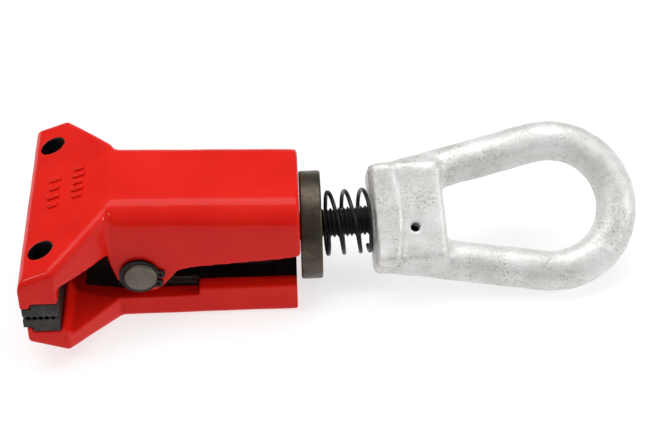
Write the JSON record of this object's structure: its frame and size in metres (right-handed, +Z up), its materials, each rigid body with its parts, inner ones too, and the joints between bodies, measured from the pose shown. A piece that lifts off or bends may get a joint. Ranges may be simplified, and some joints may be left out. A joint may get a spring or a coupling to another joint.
{
  "type": "self-tightening pull clamp",
  "caption": "Pull clamp with hinged wide jaws, serrated bite inserts, a cone on a sprung threaded pull rod and a forged eye nut; pulling the eye tightens the bite.",
  "frame": {"origin": "bottom centre of the box round the whole clamp, on the surface that it lies on", "axes": "+X from the jaws to the eye, +Y towards the far side of the jaws, +Z up; the hinge axis is along Y"},
  "size_m": [0.3227, 0.128, 0.0713],
  "materials": {
    "red_paint": "gloss red enamel over a cast surface",
    "black_oxide": "black oxide, satin",
    "browned_steel": "brown-black oxide, softly reflective",
    "spring_steel": "oiled black spring wire",
    "bearing_bronze": "plain bronze",
    "galvanised": "hot-dip galvanised, speckled and slightly rough"
  },
  "bodies": {
    "lower_jaw_body": {"lower_jaw": "red_paint", "lower_insert": "black_oxide", "lower_insert_screw_left": "black_oxide", "lower_insert_screw_right": "black_oxide", "pivot_bush": "bearing_bronze"},
    "upper_jaw_body": {"upper_jaw": "red_paint", "upper_insert": "black_oxide", "upper_insert_screw_left": "black_oxide", "upper_insert_screw_right": "black_oxide", "pivot_pin": "browned_steel", "circlip_left": "browned_steel", "circlip_right": "browned_steel"},
    "washer_body": {"thrust_washer": "browned_steel"},
    "swing_body": {"return_spring": "spring_steel"},
    "rod_body": {"pull_rod": "black_oxide", "spreader_cone": "black_oxide", "cone_roll_pin": "spring_steel"},
    "eye_body": {"eye_nut": "galvanised"}
  },
  "joints": [
    {"name": "jaw_open", "type": "hinge", "parent": "lower_jaw_body", "child": "upper_jaw_body", "pos_m": [-0.1026, 0, 0.0294], "axis": [0, 1, 0], "range_deg": [0, 7.2]},
    {"name": "washer_tilt", "type": "hinge", "parent": "lower_jaw_body", "child": "washer_body", "pos_m": [-0.0187, 0, 0.0046], "axis": [0, 1, 0], "range_deg": [0, 4.4]},
    {"name": "rod_swing", "type": "hinge", "parent": "lower_jaw_body", "child": "swing_body", "pos_m": [-0.013, 0, 0.0332], "axis": [0, 0, 1], "range_deg": [-8, 0]},
    {"name": "rod_slide", "type": "slide", "parent": "swing_body", "child": "rod_body", "axis": [0.9976, 0.0698, 0], "range_m": [-0.012, 0], "stiffness_N_per_m": 1500, "springref_m": 0.012, "deforming": ["return_spring"]},
    {"name": "eye_turn", "type": "hinge", "parent": "rod_body", "child": "eye_body", "pos_m": [0.0424, 0.00387, 0.0332], "axis": [0.9976, 0.0698, 0], "continuous": true}
  ],
  "couplings": [
    {"joint": "jaw_open", "follows": "rod_slide", "rad_per_m": -10.181},
    {"joint": "washer_tilt", "follows": "rod_slide", "rad_per_m": -6.2541}
  ]
}
